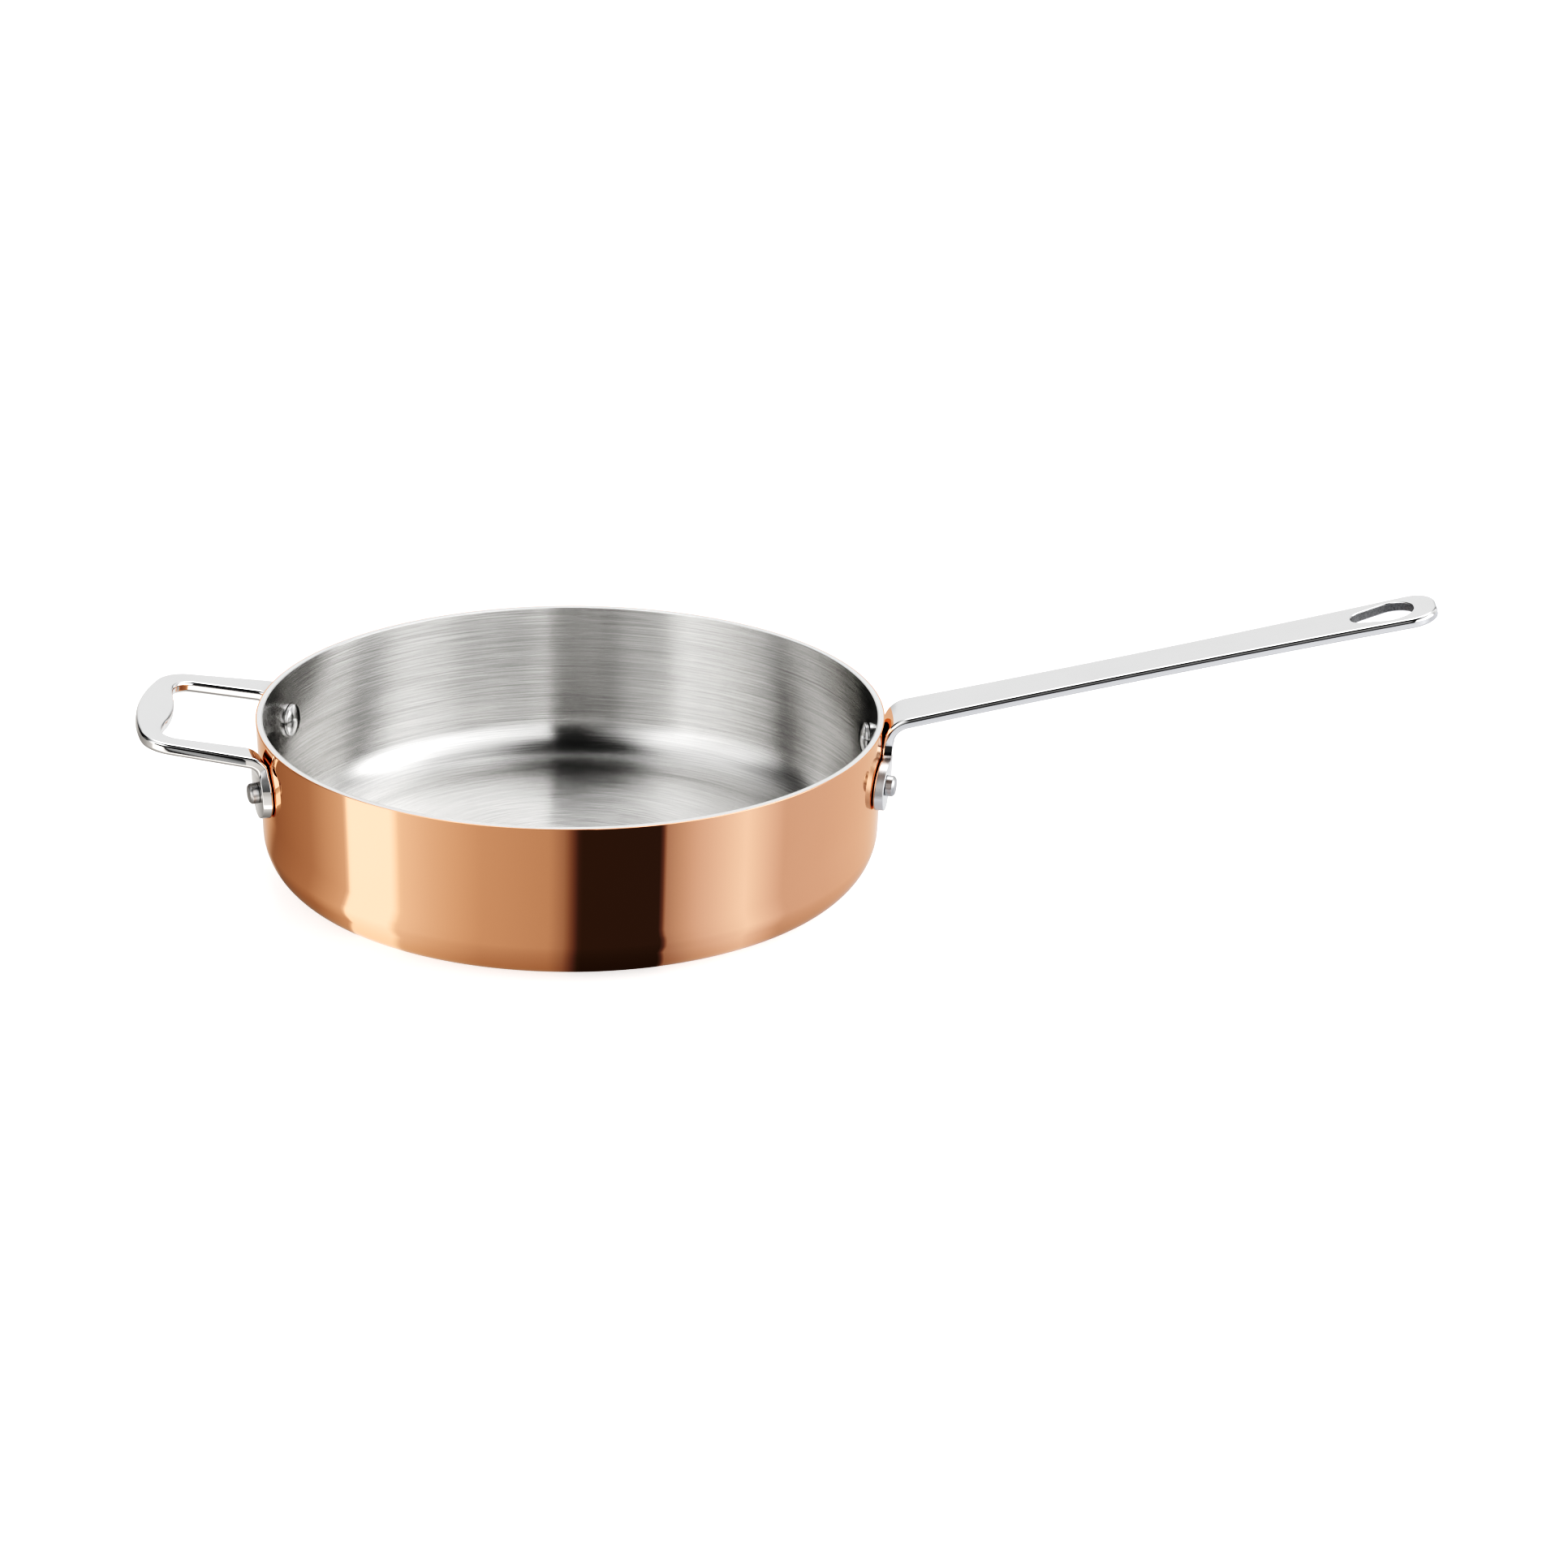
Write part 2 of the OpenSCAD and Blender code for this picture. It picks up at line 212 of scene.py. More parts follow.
def noiseNode(tree, vector, scale, detail, roughness=0.5):
    node = tree.nodes.new("ShaderNodeTexNoise")
    feed(tree, node, {"Vector": vector, "Scale": scale, "Detail": detail, "Roughness": roughness})
    return node.outputs["Fac"]


def mixNode(tree, share, first, second):
    # the first colour where the share is 0, the second where it is 1
    node = tree.nodes.new("ShaderNodeMix")
    node.data_type = "RGBA"
    feed(tree, node, {0: share, 6: first, 7: second})
    return node.outputs[2]


def coordinate(tree, kind="Object"):
    return tree.nodes.new("ShaderNodeTexCoord").outputs[kind]


def apartNode(tree, vector):
    # x, y and z
    node = tree.nodes.new("ShaderNodeSeparateXYZ")
    tree.links.new(vector, node.inputs[0])
    return node.outputs


def axisDistance(tree, x, y):
    # the square root of x squared plus y squared
    return mathNode(tree, "SQRT", mathNode(tree, "ADD", mathNode(tree, "MULTIPLY", x, x),
                                           mathNode(tree, "MULTIPLY", y, y)))


def newMaterial(name):
    material = bpy.data.materials.new(name)
    material.use_nodes = True
    return material, material.node_tree, material.node_tree.nodes["Principled BSDF"]


def newGroup(name, inputs, outputs):
    # a position and numbers go in, numbers that change over the surface come out
    tree = bpy.data.node_groups.new(name, "ShaderNodeTree")
    tree.interface.new_socket(name="Position", in_out="INPUT", socket_type="NodeSocketVector")
    for label, value in inputs.items():
        socket = tree.interface.new_socket(name=label, in_out="INPUT", socket_type="NodeSocketFloat")
        socket.default_value = value
    for label in outputs:
        tree.interface.new_socket(name=label, in_out="OUTPUT", socket_type="NodeSocketFloat")
    return tree, tree.nodes.new("NodeGroupInput").outputs, tree.nodes.new("NodeGroupOutput")


brush = {
    "nearest": 0.001,  # no division by less than this on the axis
    "broad": 0.5,  # rate of the broad lines, as a part of the fine ones'
    "detail": 3.0, "roughness": 0.6,
    "fineParts": 3.0,  # parts of the fine lines to one of the broad ones, in the streaks
    "contrast": 0.8, "offset": -1.1,
}


# Lines left by a brush that goes round the axis: noise on (cos a, sin a, way along the profile),
# stretched so that it changes slowly round the axis and fast across it.
def roundBrushGroup():
    tree, given, result = newGroup("roundBrush", {"Lines per metre": 2600.0, "Run": 3.0}, ["Fine", "Streaks"])
    x, y, z = apartNode(tree, given["Position"])
    radius = mathNode(tree, "MAXIMUM", axisDistance(tree, x, y), brush["nearest"])
    way = mathNode(tree, "ADD", radius, z)
    cosA, sinA = mathNode(tree, "DIVIDE", x, radius), mathNode(tree, "DIVIDE", y, radius)
    parts = []
    for rate in (1.0, brush["broad"]):
        run = mathNode(tree, "MULTIPLY", given["Run"], rate)
        lines = mathNode(tree, "MULTIPLY", given["Lines per metre"], rate)
        joined = tree.nodes.new("ShaderNodeCombineXYZ")
        for socket, value, scale in zip(joined.inputs, (cosA, sinA, way), (run, run, lines)):
            tree.links.new(mathNode(tree, "MULTIPLY", value, scale), socket)
        parts.append(noiseNode(tree, joined.outputs[0], 1.0, brush["detail"], brush["roughness"]))
    both = mathNode(tree, "MULTIPLY_ADD", parts[0], brush["fineParts"], parts[1])
    streaks = mathNode(tree, "MULTIPLY_ADD", both, brush["contrast"], brush["offset"])
    streaks.node.use_clamp = True
    feed(tree, result, {"Fine": parts[0], "Streaks": streaks})
    return tree


polish = {"softScale": 35.0, "detail": 2.0, "depth": 0.00002}


# Faint marks of polishing: two sizes of even noise, as a change of gloss and a very low relief.
def polishGroup():
    tree, given, result = newGroup("polishMarks", {"Gloss": 0.05, "Spread": 0.02, "Grain": 900.0},
                                   ["Roughness", "Relief"])
    soft = noiseNode(tree, given["Position"], polish["softScale"], polish["detail"])
    fine = noiseNode(tree, given["Position"], given["Grain"], polish["detail"])
    gloss = mathNode(tree, "MULTIPLY_ADD", mathNode(tree, "SUBTRACT", soft, 0.5),
                     given["Spread"], given["Gloss"])
    feed(tree, result, {"Roughness": gloss, "Relief": fine})
    return tree


roundBrush = roundBrushGroup()
polishMarks = polishGroup()
print("shader groups made")


def newMetal(name, color, roughness):
    # plain values first: they are what shows where the nodes aren't read
    material, tree, shader = newMaterial(name)
    feed(tree, shader, {"Metallic": 1.0, "Base Color": color, "Roughness": roughness})
    return material, tree, shader, coordinate(tree)


def placeGroup(tree, group, values):
    node = tree.nodes.new("ShaderNodeGroup")
    node.node_tree = group
    feed(tree, node, values)
    return node.outputs


def reliefOn(tree, shader, height, strength, depth):
    bump = tree.nodes.new("ShaderNodeBump")
    feed(tree, bump, {"Strength": strength, "Distance": depth, "Height": height})
    tree.links.new(bump.outputs[0], shader.inputs["Normal"])


def polishedMetal(name, look):
    # colour from low to high by even noise, gloss and relief by the polishing marks
    material, tree, shader, position = newMetal(name, look["high"], look["gloss"])
    marks = placeGroup(tree, polishMarks, {"Position": position, "Gloss": look["gloss"],
                                           "Spread": look["spread"], "Grain": look["grain"]})
    tone = noiseNode(tree, position, look["toneScale"], polish["detail"])
    feed(tree, shader, {"Specular Tint": look.get("grazing", grey(1.0)), "Roughness": marks["Roughness"],
                        "Base Color": mixNode(tree, tone, look["low"], look["high"])})
    reliefOn(tree, shader, marks["Relief"], look["relief"], polish["depth"])
    return material


def brushedMetal(name, look):
    # colour from low to high by the streaks, gloss and relief by the fine lines
    material, tree, shader, position = newMetal(name, look["high"], look["roughness"])
    lines = placeGroup(tree, roundBrush, {"Position": position, "Lines per metre": look["lines"],
                                          "Run": look["run"]})
    turning = tree.nodes.new("ShaderNodeVectorMath")  # direction round the axis, Z x position
    turning.operation = "CROSS_PRODUCT"
    turning.inputs[0].default_value = (0, 0, 1)
    tree.links.new(position, turning.inputs[1])
    tangent = tree.nodes.new("ShaderNodeVectorMath")
    tangent.operation = "NORMALIZE"
    tree.links.new(turning.outputs[0], tangent.inputs[0])
    feed(tree, shader, {
        "Base Color": mixNode(tree, lines["Streaks"], look["low"], look["high"]),
        "Roughness": mathNode(tree, "MULTIPLY_ADD", lines["Fine"], look["spread"],
                              look["roughness"] - look["spread"] / 2),
        "Anisotropic": look["anisotropy"],
        "Anisotropic Rotation": 0.25,  # light spreads across the brush lines
        "Tangent": tangent.outputs[0]})
    reliefOn(tree, shader, lines["Fine"], look["relief"], look["depth"])
    return material


copperLook = {"low": (0.92, 0.545, 0.385), "high": (0.94, 0.57, 0.41), "gloss": 0.035, "spread": 0.02,
              "grain": 700.0, "toneScale": 18.0, "relief": 0.02, "grazing": (1.0, 0.86, 0.76)}
handleLook = {"low": grey(0.80), "high": grey(0.86), "gloss": 0.07, "spread": 0.03,
              "grain": 900.0, "toneScale": 40.0, "relief": 0.03}
headLook = {"low": grey(0.72), "high": grey(0.80), "gloss": 0.12, "spread": 0.05,
            "grain": 1200.0, "toneScale": 160.0, "relief": 0.08}
tailLook = {"low": grey(0.52), "high": grey(0.66), "gloss": 0.34, "spread": 0.12,
            "grain": 2200.0, "toneScale": 320.0, "relief": 0.25}
edgeLook = {"low": grey(0.66), "high": grey(0.78), "gloss": 0.36, "spread": 0.08,
            "grain": 1500.0, "toneScale": 200.0, "relief": 0.15}
castLook = {"low": grey(0.20), "high": grey(0.42), "gloss": 0.55, "spread": 0.15,
            "grain": 1800.0, "toneScale": 1500.0, "relief": 0.8}
linerLook = {"low": (0.64, 0.637, 0.63), "high": (0.84, 0.835, 0.825), "roughness": 0.23, "spread": 0.10,
             "lines": 2300.0, "run": 3.0, "relief": 0.22, "depth": 0.00005, "anisotropy": 1.0}
rimLook = {"low": grey(0.88), "high": grey(0.92), "roughness": 0.14, "spread": 0.04,
           "lines": 5200.0, "run": 4.0, "relief": 0.02, "depth": 0.00002, "anisotropy": 0.0}

copperMirror = polishedMetal("copperMirror", copperLook)
handlePolish = polishedMetal("handlePolish", handleLook)
rivetHead = polishedMetal("rivetHead", headLook)
rivetTail = polishedMetal("rivetTail", tailLook)
slotCast = polishedMetal("slotCast", castLook)
edgeSatin = polishedMetal("edgeSatin", edgeLook)
linerBrushed = brushedMetal("linerBrushed", linerLook)
rimTurned = brushedMetal("rimTurned", rimLook)
print("metals made")


# Pan body: three plies, each a closed turned shell

def plySurface(depth, thickness, outerEase, innerEase):
    # base line, corner arc, leaning wall and rim of the outer side, then the same of the inner side
    lean = cosine(pan["wallLean"])
    wall = lambda d, z: (wallRadius(z) - d / lean, z)
    inner = depth + thickness
    corners = [(0, depth), wall(depth, depth), wall(depth, pan["height"]),
               wall(inner, pan["height"]), wall(inner, inner), (0, inner)]
    radii = [pan["cornerRadius"] - depth, outerEase, innerEase, pan["cornerRadius"] - inner]
    places, normals = easedChain(corners, radii, steps=24)
    places, normals = denser(places, normals, longest=6.0)
    return turnedSurface(places, normals, pan["turns"])


depth = 0.0
for name, node, ply, material, finish in (("panCopper", "copper_shell", "copper", copperMirror, "copper"),
                                          ("panCore", "aluminium_core", "core", rimTurned, "aluminium"),
                                          ("panLiner", "steel_liner", "liner", linerBrushed, "liner_steel")):
    outerEase = pan["rimEase"] if ply == "copper" else pan["plyEase"]
    innerEase = pan["rimEase"] if ply == "liner" else pan["plyEase"]
    verts, faces, normals = plySurface(depth, pan[ply], outerEase, innerEase)
    makePiece(name, verts, faces, normals, [material], node)
    depth += pan[ply]
print("pan body made")


# Rivets: one turned solid each, square to the leaning wall

rivet = {"shankRadius": 3.0, "headRadius": 6.9, "headEdge": 1.4, "dome": 1.7, "headEase": 0.28,
         "tailRadius": 4.4, "tailLength": 3.8, "tailChamfer": 1.0, "tailEase": 0.9, "shankEase": 0.1,
         "seatGap": 0.05, "flangeGap": 0.25, "turns": 96, "domePoints": 14}


def rivetSurface(flange):
    # profile (r, height above the pan's outer face): dome, head edge, shank, tail
    head, shank, tail = rivet["headRadius"], rivet["shankRadius"], rivet["tailRadius"]
    thickness = pan["copper"] + pan["core"] + pan["liner"]
    innerRadius = wallRadius(pan["rivetHeight"]) - thickness
    sag = innerRadius - np.sqrt(innerRadius ** 2 - head ** 2)
    under = -thickness - sag - rivet["seatGap"]
    edge = under - rivet["headEdge"]
    domeRadius = (head ** 2 + rivet["dome"] ** 2) / (2 * rivet["dome"])
    domeCentre = edge - rivet["dome"] + domeRadius
    r = np.linspace(0, head - rivet["headEase"], rivet["domePoints"])[1:]
    height = domeCentre - np.sqrt(domeRadius ** 2 - r ** 2)
    dome = np.stack([r, height], 1)
    domeNormal = np.stack([r, height - domeCentre], 1) / domeRadius
    seat = rivet["flangeGap"] + flange + rivet["seatGap"]
    top, chamfer = seat + rivet["tailLength"], rivet["tailChamfer"]
    corners = [dome[-1], (head, edge), (head, under), (shank, under), (shank, seat), (tail, seat),
               (tail, top - chamfer), (tail - chamfer, top), (0, top)]
    radii = [rivet["headEase"], rivet["headEase"] / 2] + [rivet["shankEase"]] * 3 + [rivet["tailEase"]] * 2
    places, normals = easedChain(corners, radii, steps=5)
    apex = [[0, edge - rivet["dome"]]]
    places = np.concatenate([apex, dome[:-1], places])
    normals = np.concatenate([[[0, -1]], domeNormal[:-1], normals])
    return denser(places, normals, longest=1.5)


def placedRivet(name, node, azimuth, flange):
    # the turned profile, its axis at an azimuth and square to the wall; head and tail differ in finish
    places, normals = rivetSurface(flange)
    verts, faces, norms = turnedSurface(places, normals, rivet["turns"])
    lean = pan["wallLean"]
    out = np.array([cosine(azimuth) * cosine(lean), sine(azimuth) * cosine(lean), -sine(lean)])
    aside = np.array([-sine(azimuth), cosine(azimuth), 0])
    basis = np.stack([aside, np.cross(out, aside), out])
    radius = wallRadius(pan["rivetHeight"])
    foot = np.array([radius * cosine(azimuth), radius * sine(azimuth), pan["rivetHeight"]])
    outside = [verts[f].mean(1)[:, 2] > 0 for f in faces]
    makePiece(name, foot + verts @ basis, faces, norms @ basis, [rivetHead, rivetTail], node,
              np.concatenate(outside).astype(int))


# Handles: one sheet of metal each, turned down against the wall

handleNet = {
    "wayStep": 0.05, "wayBelow": 30.0,  # points of the way, and how far it runs down from the bend
    "planStep": 0.2,  # points of a plan while its corners are rounded
    "edgeSteps": 8,  # points of each rounded edge
    "fill": 2.5, "bendFill": 0.8, "clear": 0.7,  # points of the faces, on the bend, and clear of the rim
    "bendFrom": 1.0,  # way at which the bend's points begin
    "easeTurn": (-2, 4),  # ways between which the rounding changes
    "satinBelow": -4,  # way below which the edges are satin
    "sidePoints": 900, "legPoints": 300, "bulgePoints": 80,
}


def runningMean(points, half):
    # the mean of each point and as many as half says on either side of it
    kernel = np.ones(2 * half + 1) / (2 * half + 1)
    return np.stack([np.convolve(points[:, k], kernel, "valid") for k in (0, 1)], 1)


def smoothed(values, reach, step):
    # running mean along the way; past its ends the way goes on turned about them, so the ends stay
    half = max(1, int(reach / step))
    return runningMean(np.concatenate([2 * values[0] - values[half:0:-1], values,
                                       2 * values[-1] - values[-2:-half - 2:-1]]), half)


def sheetWay(handle):
    # In the plane (r, z): up beside the wall, round the bend, out along the straight part. Returns the
    # way s, 0 where the bend begins, and both faces of the sheet at each s.
    lean, step = pan["wallLean"], handleNet["wayStep"]
    z0 = pan["height"] - handle["bendBelowRim"]
    thick, flange, radius = handle["thickness"], handle["flange"], handle["bendRadius"]
    outward = np.array([cosine(lean), -sine(lean)])
    upward = np.array([sine(lean), cosine(lean)])
    flangeFront = np.array([wallRadius(z0) + (rivet["flangeGap"] + flange) / cosine(lean), z0])
    centre = flangeFront + radius * outward
    angleSpan = 90 - lean - handle["slope"]
    bendLength = np.radians(angleSpan) * (radius + thick)
    s = np.arange(-handleNet["wayBelow"], bendLength + handle["reach"], step)
    back, front = np.empty((len(s), 2)), np.empty((len(s), 2))
    low = s < 0
    front[low] = flangeFront + s[low, None] * upward
    back[low] = front[low] - flange * outward
    bend = (s >= 0) & (s < bendLength)
    a = 180 - lean - np.degrees(s[bend] / (radius + thick))
    ray = np.stack([cosine(a), sine(a)], 1)
    front[bend], back[bend] = centre + radius * ray, centre + (radius + thick) * ray
    far = s >= bendLength
    along = np.array([cosine(handle["slope"]), sine(handle["slope"])])
    over = np.array([-along[1], along[0]])
    front[far] = centre + radius * over + (s[far, None] - bendLength) * along
    back[far] = front[far] + thick * over
    limit = wallRadius(back[:, 1]) + rivet["flangeGap"] / cosine(lean)
    back[:, 0] = np.maximum(back[:, 0], limit)
    back, front = smoothed(back, handle["bendEase"], step), smoothed(front, handle["bendEase"], step)
    return {"s": s, "back": back, "front": front, "bendLength": bendLength, "z0": z0,
            "start": centre + (radius + thick) * over}


def onWay(way, s, side):
    # place (r, z) and outward normal of one face at way s
    run = unit(between(s, way["s"], np.gradient(way[side], way["s"], axis=0)))
    normal = np.stack([-run[:, 1], run[:, 0]], 1)
    return between(s, way["s"], way[side]), normal if side == "back" else -normal


def resampled(points, step):
    # even steps along a closed line
    closed = np.concatenate([points, points[:1]])
    closed = closed[np.concatenate([[True], lengths(np.diff(closed, axis=0)) > 1e-6])]
    length = np.concatenate([[0], np.cumsum(lengths(np.diff(closed, axis=0)))])
    at = np.linspace(0, length[-1], max(12, int(length[-1] / step)), endpoint=False)
    return between(at, length, closed)


def roundOff(points, corner, reach):
    # the stretch of a closed line within reach of a corner becomes a parabola that touches both sides
    shift = (len(points) // 2 + int(np.argmin(lengths(points - corner)))) % len(points)
    points = np.roll(points, -shift, axis=0)
    middle = int(np.argmin(lengths(points - corner)))
    near = lengths(points - corner) < reach
    first, last = middle, middle
    while near[first - 1]:
        first -= 1
    while near[last + 1]:
        last += 1
    t = np.linspace(0, 1, last - first + 1)[:, None]
    points[first:last + 1] = (1 - t) ** 2 * points[first] + 2 * t * (1 - t) * corner + t ** 2 * points[last]
    return points


def finishedLoop(points, corners, ease, step, outer):
    # corners rounded off, a running mean all round, even steps; an outer line runs anticlockwise
    fine = handleNet["planStep"]
    points = resampled(points, fine)
    for corner, reach in corners:
        points = roundOff(points, np.array(corner), reach)
    points = resampled(points, fine)
    half = max(1, int(ease / fine))
    points = resampled(runningMean(np.concatenate([points[-half:], points, points[:half]]), half), step)
    after = np.roll(points, -1, axis=0)
    area = np.sum(points[:, 0] * after[:, 1] - points[:, 1] * after[:, 0]) / 2
    return points if (area > 0) == outer else points[::-1]


def insideLoops(points, loops):
    # even-odd rule against all edges of all loops
    start = np.concatenate(loops)
    end = np.concatenate([np.roll(loop, -1, axis=0) for loop in loops])
    x, y = points[:, :1], points[:, 1:]
    crosses = (start[:, 1] > y) != (end[:, 1] > y)
    rise = np.where(end[:, 1] == start[:, 1], 1e-12, end[:, 1] - start[:, 1])
    at = start[:, 0] + (y - start[:, 1]) / rise * (end[:, 0] - start[:, 0])
    return (crosses & (x < at)).sum(1) % 2 == 1


def sheetSurface(way, loops, eases, holes):
    # Rim of the sheet: each plan point (s, y) times a section with both edges rounded. Faces: a triangle
    # net inside the rounded rim. A plan point lies at x = sqrt(r(s)^2 - y^2), so the sheet wraps the wall.
    # An ease is the rounding of the outer and of the inner face's edge, on the flange and past the bend.
    # Marks: 1 is the cast middle of a hole's wall, 2 a satin edge of the flange, 0 all the rest.
    verts, norms, faces, marks, flat = [], [], [], [], []
    total, steps = 0, handleNet["edgeSteps"]

    def lifted(plan, side, depth=0.0, spread=0.0, rim=False):
        # place and normal on one face; on the rim the normal turns by spread towards the edge
        place, normal = onWay(way, plan[:, 0], side)
        y = plan[:, 1]
        place = place - np.reshape(depth, (-1, 1)) * normal
        x = np.sqrt(place[:, 0] ** 2 - y ** 2)
        away = np.stack([normal[:, 0] * x / place[:, 0], normal[:, 0] * y / place[:, 0], normal[:, 1]], 1)
        spot = np.stack([x, y, place[:, 1]], 1)
        if not rim:
            return spot, away
        outer, inner = onWay(way, plan[:, 0], "back")[0], onWay(way, plan[:, 0], "front")[0]
        across = np.stack([np.sqrt(outer[:, 0] ** 2 - y ** 2) - np.sqrt(inner[:, 0] ** 2 - y ** 2), 0 * y,
                           outer[:, 1] - inner[:, 1]], 1)  # through the sheet at this plan point
        return spot, cosine(spread) * away + sine(spread) * unit(np.cross(onward(spot), across))

    for loop, ease, hole in zip(loops, eases, holes):
        out = unit(onward(loop)[:, ::-1] * [1, -1])
        angles = np.linspace(0, 90, steps + 1)
        rings = [("back", a) for a in angles] + [("front", a) for a in angles[::-1]]
        radius = {side: np.interp(loop[:, 0], handleNet["easeTurn"], pair)
                  for side, pair in zip(("back", "front"), ease)}
        for side, a in rings:
            plan = loop - out * radius[side][:, None] * (1 - sine(a))
            spot, normal = lifted(plan, side, radius[side] * (1 - cosine(a)), a, True)
            verts.append(spot)
            norms.append(normal)
        n, count = len(loop), len(rings)
        k, i = np.meshgrid(np.arange(count - 1), np.arange(n), indexing="ij")
        here, there = total + k * n + i, total + k * n + (i + 1) % n
        faces.append(np.stack([here, here + n, there + n, there], 2).reshape(-1, 4))
        cast = hole & (k.ravel() == steps)
        satin = loop[i.ravel(), 0] < handleNet["satinBelow"]
        marks.append(np.where(cast, 1, np.where(satin, 2, 0)))
        flat.append((loop - out * radius["back"][:, None], total, total + (count - 1) * n))
        total += n * count

    inner = [f[0] for f in flat]
    edgePoints = np.concatenate(inner)
    low, high = edgePoints.min(0), edgePoints.max(0)
    fill, bendStart, bendEnd = handleNet["fill"], handleNet["bendFrom"], way["bendLength"]
    spans = (low[0], bendStart, fill), (bendStart, bendEnd, handleNet["bendFill"]), (bendEnd, high[0], fill)
    rows = np.concatenate([np.arange(*span) for span in spans])
    gx, gy = np.meshgrid(rows, np.arange(low[1], high[1], fill), indexing="ij")
    grid = np.stack([gx.ravel(), gy.ravel()], 1)
    grid = grid[insideLoops(grid, inner)]
    apart = np.concatenate([np.linalg.norm(part[:, None] - edgePoints, axis=2).min(1)
                            for part in np.array_split(grid, 20)])
    grid = grid[apart > handleNet["clear"]]
    plan = np.concatenate([edgePoints, grid])
    edges, offset = [], 0
    for loop in inner:
        n = len(loop)
        edges += [(offset + i, offset + (i + 1) % n) for i in range(n)]
        offset += n
    net = delaunay_2d_cdt([tuple(p) for p in plan], edges, [], 0, 1e-7, True)
    source = np.array([ids[0] for ids in net[3]])
    triangles = source[np.array(net[2])]
    triangles = triangles[insideLoops(plan[triangles].mean(1), inner)]
    for side in ("back", "front"):
        spot, normal = lifted(grid, side)
        verts.append(spot)
        norms.append(normal)
        index = np.concatenate([(f[1] if side == "back" else f[2]) + np.arange(len(f[0])) for f in flat]
                               + [total + np.arange(len(grid))])
        total += len(grid)
        faces.append(index[triangles] if side == "back" else index[triangles][:, ::-1])
        marks.append(np.zeros(len(triangles), int))
    return np.concatenate(verts), faces, np.concatenate(norms), np.concatenate(marks)


longHandle = {
    "thickness": 4.2, "flange": 4.2, "bendBelowRim": 8.6, "bendRadius": 8.0, "slope": 12.8, "bendEase": 1.2,
    "reach": 235.0, "length": 227.0, "waist": 24.4, "waistAt": 88.0, "tipWidth": 30.0, "tipRadius": 11.5,
    "rivetAside": 27.2, "lobeRadius": 7.5, "lobeDrop": 11.4, "shoulderRadius": 12.0, "shoulderDown": 3.9,
    "neckFillet": 4.4, "neckWidth": 26.6, "webHeight": 13.0, "archRadius": 34.0, "cornerReach": 2.6,
    "slotToTip": 9.5, "slotLength": 27.1, "slotBig": 10.0, "slotSmall": 6.4,
    "edgeEase": ((0.9, 1.75), (0.3, 1.0)), "slotEase": ((0.45, 0.45), (0.45, 0.45)),
}


